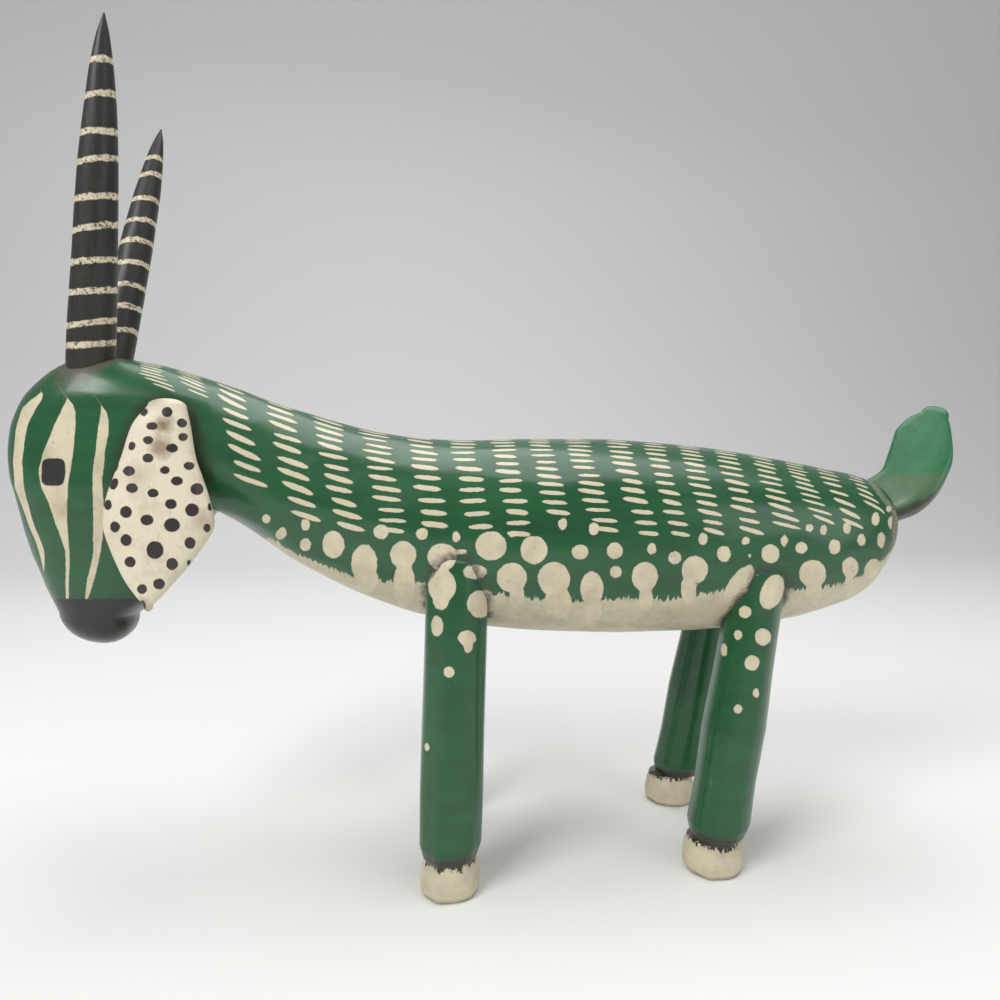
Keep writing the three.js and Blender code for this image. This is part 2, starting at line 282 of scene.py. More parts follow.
def rail(points, place):
    """A centripetal Catmull-Rom curve through the points, with place from 0 to 1."""
    points = np.asarray(points, float)
    padded = np.vstack([2 * points[0] - points[1], points, 2 * points[-1] - points[-2]])
    at = place * (len(points) - 1)
    span = np.minimum(at.astype(int), len(points) - 2)
    share = (at - span)[:, None]
    before, start, end, after = (padded[span + k] for k in range(4))

    def knot(a, b):
        return np.sqrt(np.linalg.norm(b - a, axis=1))[:, None]

    middle = knot(start, end)
    middle = np.where(middle < 1e-4, 1, middle)
    first, last = knot(before, start), knot(end, after)
    first = np.where(first < 1e-4, middle, first)
    last = np.where(last < 1e-4, middle, last)
    leave = (start - before) / first - (end - before) / (first + middle) + (end - start) / middle
    arrive = (end - start) / middle - (after - start) / (middle + last) + (after - end) / last
    leave, arrive = leave * middle, arrive * middle
    square = 3 * (end - start) - 2 * leave - arrive
    cube = 2 * (start - end) + leave + arrive
    return start + share * (leave + share * (square + share * cube))


def section_ring(upper, lower, size, around):
    """Equal steps round a section, from its upper point down the left and up the right."""
    half, square, egg = size
    middle, reach = (upper + lower) / 2, (upper - lower) / 2
    angle = np.linspace(0, math.pi, 361)
    along = np.sign(np.cos(angle)) * np.abs(np.cos(angle)) ** (2 / square)
    across = np.sin(angle).clip(0) ** (2 / square) * (1 - egg * along) * half
    steps = np.hypot(np.diff(along) * np.linalg.norm(reach), np.diff(across))
    girth = np.concatenate([[0], np.cumsum(steps)])
    wanted = np.linspace(0, girth[-1], around // 2 + 1)
    left = middle + reach * np.interp(wanted, girth, along)[:, None]
    left[:, 1] = -np.interp(wanted, girth, across)
    right = left[-2:0:-1] * (1, -1, 1)
    return np.vstack([left, right]), np.concatenate([wanted, wanted[-2:0:-1]])


def cap_rings(ring, girth, reach, count):
    """Rings that close the end of a loft along an ellipse, and the tip of that end."""
    centre = ring.mean(0)
    rings, girths = [], []
    for share in np.linspace(0, 1, count + 2)[1:-1]:
        angle = share * math.pi / 2
        middle = centre + np.array(reach) * math.sin(angle)
        rings.append((ring - centre) * math.cos(angle) + middle)
        girths.append(girth * math.cos(angle))
    return rings, girths, centre + np.array(reach)


def loft(sections, step, around, first_cap, last_cap):
    """Rings of a lofted form about a step apart, the girth at each point, and both tips."""
    uppers = np.stack([sections[:, 0], 0 * sections[:, 0], sections[:, 1]], -1)
    lowers = np.stack([sections[:, 2], 0 * sections[:, 2], sections[:, 3]], -1)
    middles = (uppers + lowers) / 2
    reaches = np.linalg.norm(np.diff(uppers, axis=0), axis=1)
    spans = np.maximum(reaches * 0.75, np.linalg.norm(np.diff(middles, axis=0), axis=1))
    places = [0.0]
    for span, length in enumerate(spans):
        count = max(1, math.ceil(length / step))
        places += [(span + (k + 1) / count) / len(spans) for k in range(count)]
    places = np.array(places)
    rails = zip(rail(uppers, places), rail(lowers, places), rail(sections[:, 4:], places))
    rings, girths = map(list, zip(*(section_ring(u, l, s, around) for u, l, s in rails)))
    first = cap_rings(rings[0], girths[0], first_cap, 6)
    last = cap_rings(rings[-1], girths[-1], last_cap, 10)
    rings = first[0][::-1] + rings + last[0]
    girths = first[1][::-1] + girths + last[1]
    return np.array(rings), np.array(girths), first[2], last[2]


def skin(rings, first, last):
    """Points and outward faces of a closed skin over rings, with a point at each end."""
    count, around = rings.shape[:2]
    points = np.vstack([first, rings.reshape(-1, 3), last])
    index = np.arange(count * around).reshape(count, around) + 1
    beside = np.roll(index, -1, axis=1)
    quads = np.stack([index[:-1], index[1:], beside[1:], beside[:-1]], -1).reshape(-1, 4)
    start = np.stack([np.zeros_like(index[0]), index[0], beside[0]], -1)
    end = np.stack([index[-1], np.full_like(index[-1], len(points) - 1), beside[-1]], -1)
    faces = quads.tolist() + start.tolist() + end.tolist()
    middle = points.mean(0)
    corners = points[quads] - middle
    volume = np.einsum("ij,ij->i", corners[:, 0], np.cross(corners[:, 1], corners[:, 2])).sum()
    if volume < 0:
        faces = [face[::-1] for face in faces]
    return points, faces


def on_points(values):
    """Values of ring points, with those of the two end points added."""
    return np.concatenate([[values[0].mean()], values.ravel(), [values[-1].mean()]])


def shifted(points):
    return points - (DRAWN_MIDDLE, 0, 0)


def blade_marks(points, cell, seed):
    """0 to 1 over points: low in the middle of each shallow blade cut, high between two."""
    marks = np.empty(len(points))
    scaled = points / cell + seed
    for i, place in enumerate(scaled.tolist()):
        marks[i] = noise.voronoi(place, distance_metric="DISTANCE_SQUARED")[0][0]
    return np.clip(marks / 0.6, 0, 1)


def swell(points, cell, seed):
    """Slow uneven swelling over points, -1 to 1."""
    scaled = points / cell + seed
    return np.array([noise.noise(place) for place in scaled.tolist()])


def build(name, points, faces, finish, node, notes=None):
    """One piece of the figure, with what its paint reads stored on its points."""
    mesh = bpy.data.meshes.new(name)
    mesh.from_pydata((points * MM).tolist(), [], faces)
    mesh.polygons.foreach_set("use_smooth", np.ones(len(mesh.polygons), bool))
    for key, values in (notes or {}).items():
        attribute = mesh.attributes.new(key, "FLOAT_VECTOR", "POINT")
        attribute.data.foreach_set("vector", np.asarray(values, np.float32).ravel())
    mesh.materials.append(finish)
    piece = bpy.data.objects.new(name, mesh)
    bpy.context.scene.collection.objects.link(piece)
    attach(piece, "root")
    if node:
        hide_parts(node)
    return piece


def normals_of(points, faces):
    mesh = bpy.data.meshes.new("measure")
    mesh.from_pydata(points.tolist(), [], faces)
    normals = np.empty(len(points) * 3)
    mesh.vertices.foreach_get("normal", normals)
    bpy.data.meshes.remove(mesh)
    return normals.reshape(-1, 3)


# ---- Finishes ----

class Tone:
    """A socket of a finish, with Python's own arithmetic."""

    def __init__(self, finish, socket):
        self.finish = finish
        self.socket = socket

    def maths(self, operation, *others):
        return self.finish.add("Math", {"operation": operation}, self, *others)

    def __add__(self, other):
        return self.maths("ADD", other)

    __radd__ = __add__

    def __sub__(self, other):
        return self.maths("SUBTRACT", other)

    def __rsub__(self, other):
        return self.finish.add("Math", {"operation": "SUBTRACT"}, other, self)

    def __mul__(self, other):
        return self.maths("MULTIPLY", other)

    __rmul__ = __mul__

    def __truediv__(self, other):
        return self.maths("DIVIDE", other)

    def __pow__(self, other):
        return self.maths("POWER", other)

    def __abs__(self):
        return self.maths("ABSOLUTE")

    def __round__(self):
        return self.maths("ROUND")

    def least(self, other):
        return self.maths("MINIMUM", other)

    def most(self, other):
        return self.maths("MAXIMUM", other)

    def rise(self, low, high):
        """0 at low, 1 at high, and clamped outside them."""
        return self.finish.add("MapRange", None, self, low, high, 0.0, 1.0)

    def parts(self):
        split = self.finish.node("SeparateXYZ", None, self)
        return [Tone(self.finish, socket) for socket in split.outputs]


class Finish:
    """A material that is being mixed."""

    def __init__(self, name):
        self.material = bpy.data.materials.new(name)
        self.material.use_nodes = True
        self.tree = self.material.node_tree
        self.tree.nodes.clear()
        self.place = self.add("TexCoord", out="Object")

    def node(self, kind, settings=None, *values):
        """A node of that kind. Settings come first, then what goes into its sockets in turn."""
        made = self.tree.nodes.new("ShaderNode" + kind)
        for key, value in (settings or {}).items():
            setattr(made, key, value)
        shown = [socket for socket in made.inputs if socket.enabled]
        for socket, value in zip(shown, values):
            self.plug(socket, value)
        return made

    def plug(self, socket, value):
        if isinstance(value, Tone):
            self.tree.links.new(value.socket, socket)
        elif value is not None:
            socket.default_value = value

    def add(self, kind, settings=None, *values, out=0):
        made = self.node(kind, settings, *values)
        if out == 0:
            shown = [socket for socket in made.outputs if socket.enabled]
            return Tone(self, shown[0])
        return Tone(self, made.outputs[out])

    def note(self, name):
        """The vector stored on the mesh under that name."""
        return self.add("Attribute", {"attribute_name": name}, out="Vector")

    def grain(self, scale, size=(1, 1, 1), detail=3.0, rough=0.5, place=None, shift=(0, 0, 0)):
        """Cloudy noise from 0 to 1, with features about 1 / (scale x size) long each way."""
        place = place or self.place
        spot = self.add("Mapping", {"vector_type": "POINT"}, place, shift, (0, 0, 0), size)
        return self.add("TexNoise", {"noise_dimensions": "3D"}, spot, scale, detail, rough)

    def vector(self, x, y, z=0.0):
        return self.add("CombineXYZ", None, x, y, z)

    def blend(self, share, below, above):
        """One colour laid over another."""
        settings = {"data_type": "RGBA", "clamp_factor": True}
        return self.add("Mix", settings, share, below, above)

    def bump(self, height, depth):
        """A normal from a height of 0 to 1 that stands for depth in millimetres."""
        made = self.node("Bump")
        self.plug(made.inputs["Height"], height)
        made.inputs["Distance"].default_value = depth * MM
        return Tone(self, made.outputs["Normal"])

    def close(self, colour, rough, normal=None, coat=0.0, specular=0.5):
        """The finished surface."""
        surface = self.tree.nodes.new("ShaderNodeBsdfPrincipled")
        self.plug(surface.inputs["Base Color"], colour)
        self.plug(surface.inputs["Roughness"], rough)
        self.plug(surface.inputs["Normal"], normal)
        surface.inputs["Coat Weight"].default_value = coat
        surface.inputs["Coat Roughness"].default_value = 0.15
        surface.inputs["Specular IOR Level"].default_value = specular
        end = self.tree.nodes.new("ShaderNodeOutputMaterial")
        self.tree.links.new(surface.outputs["BSDF"], end.inputs["Surface"])
        return self.material


# Paints and stains, as light they give back.
LEAF_GREEN = (0.007, 0.105, 0.030, 1)
DEEP_GREEN = (0.004, 0.060, 0.017, 1)
CREAM = (0.66, 0.58, 0.41, 1)
GREY_CREAM = (0.40, 0.37, 0.26, 1)
TAN = (0.36, 0.25, 0.12, 1)
BARK = (0.022, 0.015, 0.007, 1)
SOOT = (0.010, 0.009, 0.007, 1)
PUTTY = (0.075, 0.075, 0.045, 1)


def enamel(paint):
    """Brushed green over wood: streaks along the grain and darker, thinner places."""
    streaks = paint.grain(1, (14, 90, 90), 4, 0.6)
    clouds = paint.grain(9, detail=2)
    green = paint.blend(streaks.rise(0.25, 0.75), DEEP_GREEN, LEAF_GREEN)
    return paint.blend(clouds.rise(0.35, 0.75) * 0.35, green, DEEP_GREEN)


def old_white(paint, grey=0.0):
    """White paint gone cream, with thin greyish and tan places and specks of dirt."""
    clouds = paint.grain(55, detail=5, rough=0.65)
    specks = paint.grain(330, detail=4, rough=0.7, shift=(3, 1, 2))
    white = paint.blend(clouds.rise(0.42, 0.78) * 0.7 + grey, CREAM, GREY_CREAM)
    white = paint.blend(paint.grain(38, detail=4, shift=(5, 5, 1)).rise(0.56, 0.8) * 0.45, white, TAN)
    return paint.blend(specks.rise(0.62, 0.72) * 0.55, white, BARK)


def log_finish():
    """The painted log: dashes, daubs, white belly, striped face, black muzzle and stained joints."""
    paint = Finish("log_enamel")
    look_x, look_y, _ = paint.note("look").parts()
    column, row, rows_left = paint.note("dash").parts()
    spot, belly, _ = paint.note("daub").parts()
    joint, horn, ear = paint.note("near").parts()
    _, place_y, _ = paint.place.parts()
    far_side = place_y.maths("GREATER_THAN", 0.0)
    wobble = paint.grain(230, detail=3, rough=0.6) - 0.5
    bristle = paint.grain(1, (120, 700, 700), 3, 0.6) - 0.5

    nth, count = round(column), round(row)
    chance = paint.add("TexWhiteNoise", {"noise_dimensions": "3D"},
                       paint.vector(nth, count, far_side * 7), out="Color").parts()
    across = column - nth + (chance[0] - 0.5) * 0.09 + wobble * 0.04
    down = row - count - across * (chance[1] * 0.55) + wobble * 0.16 + (chance[0] - 0.5) * 0.12
    long = abs(across) / (chance[2] * 0.07 + 0.27)
    thick = abs(down) / (chance[1] * 0.08 + 0.19)
    dash = 1 - (long ** 3 + thick ** 2 + bristle * 0.5).rise(0.75, 1.1)
    dash = dash * column.maths("GREATER_THAN", -0.5) * rows_left.maths("GREATER_THAN", 0.0)

    daub = 1 - (spot + wobble * 2.6).rise(-0.35, 0.45)
    hair = paint.grain(1, (420, 70, 70), 2, 0.6) - 0.5
    belly_white = (belly + hair * 17).rise(-0.4, 0.9)

    stripes = None
    for name in FACE_STRIPES:
        off, half, _ = paint.note(name).parts()
        stripe = 1 - (abs(off) - half + wobble * 1.6).rise(-0.3, 0.4)
        stripes = stripe if stripes is None else stripes.most(stripe)

    x, y, wide, high = EYE_DOT
    eye = ((abs(look_x - x + wobble * 2) * (2 / wide)) ** 4
           + (abs(look_y - y + wobble * 2) * (2 / high)) ** 4)
    eye = 1 - eye.rise(0.8, 1.1)
    head = 1 - look_x.rise(212, 214)
    muzzle = (look_y + wobble * 3).rise(MUZZLE_LINE - 0.6, MUZZLE_LINE + 0.8) * head

    dirt = paint.grain(70, detail=5, rough=0.7)
    joint_stain = 1 - (joint + (dirt - 0.5) * 22).rise(0.0, 6.0)
    horn_putty = 1 - (horn + (dirt - 0.5) * 26).rise(2.0, 11.0)
    ear_shade = (1 - (ear + (dirt - 0.5) * 16).rise(1.0, 12.0)) * 0.85

    colour = enamel(paint)
    white = old_white(paint)
    colour = paint.blend(ear_shade, colour, BARK)
    colour = paint.blend(belly_white, colour, old_white(paint, 0.3))
    colour = paint.blend(daub.most(stripes), colour, white)
    colour = paint.blend(dash * 0.93, colour, CREAM)
    colour = paint.blend(eye.most(muzzle), colour, SOOT)
    colour = paint.blend(joint_stain * 0.85, colour, BARK)
    colour = paint.blend(horn_putty, colour, PUTTY)

    pale = belly_white.most(daub).most(stripes)
    rough = pale * 0.2 + 0.26 + dirt * 0.12 + horn_putty * 0.2
    relief = dash.most(pale) * 0.5 + bristle * 0.25 + paint.grain(140, detail=4) * 0.3
    return paint.close(colour, rough, paint.bump(relief, 0.35), coat=0.25)


def leg_finish():
    """Green shanks with daubs, a dark undercut and a white hoof with a brushed upper edge."""
    paint = Finish("leg_enamel")
    spot, height, around = paint.note("leg").parts()
    wobble = paint.grain(230, detail=3, rough=0.6) - 0.5
    dirt = paint.grain(90, detail=5, rough=0.7)
    hair = paint.grain(1, (380, 380, 60), 3, 0.6) - 0.5
    slant = paint.grain(16, detail=1) - 0.5

    daub = 1 - (spot + wobble * 2.4).rise(-0.35, 0.45)
    rubbed = paint.grain(1, (160, 160, 26), 5, 0.75, shift=(2, 7, 1)).rise(0.66, 0.72)
    collar = 1 - (height + slant * 7 + wobble * 3).rise(33.5, 36.5)
    hoof = 1 - (height + hair * 17 + slant * 6).rise(24.5, 26.0)

    colour = enamel(paint)
    colour = paint.blend(rubbed * 0.55, colour, TAN)
    colour = paint.blend(daub, colour, old_white(paint))
    colour = paint.blend(collar * 0.94, colour, BARK)
    horn_white = old_white(paint, 0.12)
    sole = (1 - (height + dirt * 9).rise(3.5, 9.0)) * 0.6
    colour = paint.blend(hoof, colour, paint.blend(sole, horn_white, BARK))

    rough = hoof * 0.25 + 0.26 + dirt * 0.12
    relief = daub.most(hoof) * 0.4 + hair * 0.35 + paint.grain(140, detail=4) * 0.3
    return paint.close(colour, rough, paint.bump(relief, 0.4), coat=0.25)


def horn_finish(name, rings, base, tip):
    """Black horn with white rings brushed round it, a little aslant."""
    paint = Finish("horn_black_" + name)
    base, tip = np.array(base) * MM, np.array(tip) * MM
    axis = (tip - base) / np.linalg.norm(tip - base)
    from_base = paint.add("VectorMath", {"operation": "SUBTRACT"}, paint.place, tuple(base))
    height = paint.add("VectorMath", {"operation": "DOT_PRODUCT"}, from_base, tuple(axis), out=1)
    aslant = paint.add("VectorMath", {"operation": "DOT_PRODUCT"}, from_base, (1, 0.2, 0), out=1)
    wobble = paint.grain(160, detail=3, rough=0.6) - 0.5
    streak = paint.grain(1, (600, 600, 40), 4, 0.6)
    level = height + wobble * 0.0035

    band = None
    for ring, lean in rings:
        near = abs(level + aslant * lean - ring * MM)
        band = near if band is None else band.least(near)
    white = 1 - (band + (streak - 0.5) * 0.0016).rise(0.0017, 0.0026)
    worn = paint.grain(420, detail=4, rough=0.7).rise(0.36, 0.5)

    black = paint.blend(streak.rise(0.4, 0.75) * 0.6, SOOT, (0.035, 0.031, 0.024, 1))
    black = paint.blend((1 - height.rise(0.004, 0.03)) * 0.75, black, BARK)
    colour = paint.blend(white * worn, black, CREAM)
    relief = streak * 0.6 + white * 0.4
    return paint.close(colour, streak * 0.2 + 0.38, paint.bump(relief, 0.5), coat=0.1)


def ear_finish():
    """White ear with dark dots, yellowed, stained at the nail, and with painted shade along its lower
    rim.
    """
    paint = Finish("ear_white")
    look_x, look_y, dot = paint.note("ear").parts()
    wobble = paint.grain(260, detail=3, rough=0.6) - 0.5
    clouds = paint.grain(45, detail=5, rough=0.7)
    specks = paint.grain(300, detail=4, rough=0.75, shift=(1, 4, 2))

    white = paint.blend(clouds.rise(0.5, 0.8) * 0.55, (0.72, 0.65, 0.49, 1), TAN)
    white = paint.blend(specks.rise(0.6, 0.72) * 0.4, white, (0.16, 0.12, 0.07, 1))
    # Brown laid on at each listed place: stains by the nail, and painted shade where the lower rim
    # curves away.
    for x, y, reach, strength in EAR_STAINS_AND_RIM_SHADE:
        away = ((look_x - x) ** 2 + (look_y - y) ** 2) ** 0.5 + (clouds - 0.5) * 34
        stain_and_shade = (1 - away.rise(1.0, reach)) * strength
        white = paint.blend(stain_and_shade, white, (0.20, 0.12, 0.05, 1))
    dots = 1 - (dot + wobble * 1.6).rise(-0.35, 0.4)
    dots = dots * (1 - specks.rise(0.66, 0.72) * 0.5)
    colour = paint.blend(dots, white, (0.030, 0.019, 0.019, 1))
    rough = 0.42 + clouds * 0.15 - dots * 0.12
    relief = dots * 0.4 + specks * 0.3 + clouds * 0.5
    return paint.close(colour, rough, paint.bump(relief, 0.35), coat=0.1)


def tail_finish():
    """Bright green blade, browner and duller towards its root."""
    paint = Finish("tail_enamel")
    look_x, look_y, _ = paint.note("look").parts()
    wobble = paint.grain(120, detail=4, rough=0.65) - 0.5
    streaks = paint.grain(1, (60, 60, 22), 4, 0.65)
    green = paint.blend(streaks.rise(0.3, 0.7), (0.012, 0.115, 0.045, 1), (0.022, 0.165, 0.062, 1))
    lower = (look_y + wobble * 14 + (look_x - 920) * 0.02).rise(470, 478)
    colour = paint.blend(lower * 0.75, green, (0.075, 0.125, 0.060, 1))
    specks = paint.grain(260, detail=4, rough=0.7, shift=(4, 1, 0)).rise(0.62, 0.7)
    colour = paint.blend(specks * 0.4, colour, BARK)
    root = (look_y - 503 - (914 - look_x) * 0.45 + wobble * 10).rise(-2, 3)
    colour = paint.blend(root * 0.9, colour, BARK)
    relief = streaks * 0.6 + wobble * 0.4
    return paint.close(colour, 0.3 + streaks * 0.15, paint.bump(relief, 0.4), coat=0.2)


def filler_finish():
    """Dark filler pressed round the joints."""
    paint = Finish("dark_filler")
    lumps = paint.grain(180, detail=5, rough=0.7)
    colour = paint.blend(lumps.rise(0.4, 0.65), BARK, PUTTY)
    return paint.close(colour, lumps * 0.3 + 0.5, paint.bump(lumps, 1.2))


# ---- The log ----

def log_piece(others):
    rings, girths, first, last = loft(LOG, 2.7, 200, RUMP_CAP, LIP_CAP)
    rings, first, last = shifted(rings), shifted(first), shifted(last)
    points, faces = skin(rings, first, last)
    normals = normals_of(points, faces)
    girth = on_points(girths)
    look = in_picture(on_left(points))
    front = facing(points, normals)
    notes = {
        "look": np.column_stack([look, front]),
        "dash": dash_note(look, girth, front),
        "daub": np.column_stack([
            daubs(look, SPOTS) + 60 * np.clip(-front, 0, 1),
            belly_note(rings, girths),
            0 * girth,
        ]),
        "near": near_note(points, others),
    }
    for name, stripe in FACE_STRIPES.items():
        notes[name] = stripe_note(rings, girths, stripe)
    marks = blade_marks(points, np.array((70, 24, 24)), (3.1, 0.4, 7.7))
    points = points - normals * (LOG_CUT * (1 - marks))[:, None]
    return build("painted_log", points, faces, log_finish(), "body", notes)


def dash_note(look, girth, front):
    """Which column of dashes each point is in, which dash of it, and how many are left."""
    columns = np.array(DASH_COLUMNS, float)
    visible = np.flatnonzero(front > 0.05)
    slide = (look[:, 1:2] - columns[:, 1]) / (columns[:, 3] - columns[:, 1])
    middles = columns[:, 0] + (columns[:, 2] - columns[:, 0]) * np.clip(slide, -0.1, 1.2)
    column = np.full(len(look), -1.0)
    for i in range(len(columns) - 1):
        start, end = middles[:, i], middles[:, i + 1]
        inside = (look[:, 0] >= start) & (look[:, 0] < end)
        column = np.where(inside, i + (look[:, 0] - start) / (end - start), column)
    edge = (look[:, 0] - middles[:, -1]) / 14
    column = np.where(edge >= 0, len(columns) - 1 + edge, column)
    edge = (look[:, 0] - middles[:, 0]) / 30
    column = np.where(edge < 0, edge, column)

    def girth_at(x, y):
        gap = np.hypot(look[visible, 0] - x, look[visible, 1] - y)
        return girth[visible[gap.argmin()]]

    starts = np.array([girth_at(x, y) for x, y, *_ in columns])
    ends = np.array([girth_at(x, y) for _, _, x, y, _ in columns])
    nth = np.clip(np.round(column), 0, len(columns) - 1).astype(int)
    counts = columns[:, 4] - 1
    row = (girth - starts[nth]) / (ends - starts)[nth] * counts[nth]
    left = counts[nth] + 0.5 - row
    left = np.where(column > len(columns) - 0.55, -1, left)
    return np.column_stack([column, row, left])


def crossing(values, girths):
    """Girth where each row of values first turns from negative to positive, or nan."""
    found = np.full(len(values), np.nan)
    for i, (line, girth) in enumerate(zip(values, girths)):
        above = np.flatnonzero((line[1:] >= 0) & (line[:-1] < 0))
        if len(above):
            k = above[0]
            share = -line[k] / (line[k + 1] - line[k])
            found[i] = girth[k] + share * (girth[k + 1] - girth[k])
    return found


def left_half(rings, girths):
    half = rings.shape[1] // 2 + 1
    left = rings[:, :half]
    return in_picture(left.reshape(-1, 3)).reshape(*left.shape[:2], 2), girths[:, :half]


def belly_note(rings, girths):
    """Distance in millimetres below the upper edge of the white belly, along the girth."""
    look, girth = left_half(rings, girths)
    edge = np.interp(look[..., 0], BELLY_EDGE[:, 0], BELLY_EDGE[:, 1])
    found = crossing(look[..., 1] - edge, girth)
    on_trunk = (look[..., 0].mean(1) > 225)
    found = np.where(np.isnan(found) | ~on_trunk, girth.max(1) + 12, found)
    smooth = np.convolve(np.pad(found, 3, mode="edge"), np.ones(7) / 7, "valid")
    return on_points(girths - smooth[:, None])


def stripe_note(rings, girths, stripe):
    """Offset from a face stripe's middle line and its half width, in millimetres of girth."""
    look, girth = left_half(rings, girths)
    height = look[..., 1]
    right = crossing(look[..., 0] - np.interp(height, stripe[:, 0], stripe[:, 2]), girth)
    left = crossing(look[..., 0] - np.interp(height, stripe[:, 0], stripe[:, 1]), girth)
    widths = stripe[:, 2] - stripe[:, 1]
    at = np.array([
        np.interp(g, line, h) if g == g else 0 for g, line, h in zip(right, girth, height)
    ])
    wide = np.interp(at, stripe[:, 0], widths) * 0.85
    left = np.where(np.isnan(left), right - wide, left)
    outside = np.isnan(right) | (at < stripe[0, 0]) | (at > stripe[-1, 0])
    middle = np.where(outside, 0, (left + right) / 2)
    half = np.where(outside, -6, (right - left) / 2)
    middle, half = np.nan_to_num(middle), np.nan_to_num(half, nan=-6)
    shape = np.ones(rings.shape[1])
    return np.column_stack([
        on_points(girths - middle[:, None]), on_points(half[:, None] * shape), 0 * on_points(girths),
    ])


def near_note(points, others):
    """Distance in millimetres to the legs or tail, to the horns and to the ears."""
    reach = 60
    columns = []
    for group in others:
        nearest = np.full(len(points), float(reach))
        for piece_points, piece_faces in group:
            tree = BVHTree.FromPolygons(piece_points.tolist(), piece_faces)
            low, high = piece_points.min(0) - reach, piece_points.max(0) + reach
            close = np.flatnonzero(((points > low) & (points < high)).all(1))
            for i in close:
                hit = tree.find_nearest(points[i].tolist(), reach)
                if hit[3] is not None:
                    nearest[i] = min(nearest[i], hit[3])
        columns.append(nearest)
    return np.column_stack(columns)


# ---- Legs ----

def leg_form(shank, top, foot, hip, toe, seed):
    """A whittled leg: rings with uneven flats up its length, and a knife-cut hoof."""
    profile = np.array([*HOOF, *shank, (top - 8, 24), (top - 1.5, 19), (top, 12)])
    chance = np.random.default_rng(seed)
    flats = 11
    facing_to = (np.arange(flats) + chance.uniform(-0.28, 0.28, flats)) * 2 * math.pi / flats
    twist = chance.uniform(-0.09, 0.09, flats)
    close = chance.uniform(0.965, 0.995, flats)
    heights = np.unique(np.concatenate([
        np.linspace(0, 44, 34), np.linspace(44, top - 9, 96), np.linspace(top - 9, top, 10),
    ]))
    angle = np.linspace(0, 2 * math.pi, 96, endpoint=False)
    lean = (np.array(hip) - foot) / top
    rings = []
    for height in heights:
        radius = np.interp(height, profile[:, 0], profile[:, 1])
        turn = facing_to + twist * math.sin(height / 70 + seed)
        reach = close * (1 + 0.008 * np.sin(height / 23 + 5 * facing_to))
        leaning = np.cos(angle[:, None] - turn).clip(1e-3) / (reach * 0.985)
        round_off = (leaning ** 26).sum(1) ** (-1 / 26)
        rise = max(0.0, height - HOOF_TOP)
        before = toe if height <= HOOF_TOP else 0
        ring = np.stack([
            foot[0] - before + lean[0] * rise + radius * round_off * np.cos(angle),
            foot[1] + lean[1] * rise + radius * round_off * np.sin(angle),
            np.full_like(angle, height),
        ], -1)
        rings.append(ring)
    return np.array(rings)


def leg_piece(name, form):
    seed = 11 + list(LEGS).index(name)
    rings = shifted(leg_form(**form, seed=seed))
    first, last = rings[0].mean(0), rings[-1].mean(0)
    points, faces = skin(rings, first, last)
    normals = normals_of(points, faces)
    look = in_picture(on_left(points))
    hidden = 60 * np.clip(0.15 - facing(points, normals), 0, 1)
    spots = daubs(look, SPOTS) + hidden
    angle = on_points(np.broadcast_to(np.arange(rings.shape[1]), rings.shape[:2]).astype(float))
    notes = {"leg": np.column_stack([spots, points[:, 2], angle])}
    return points, faces, notes


# ---- Horns ----

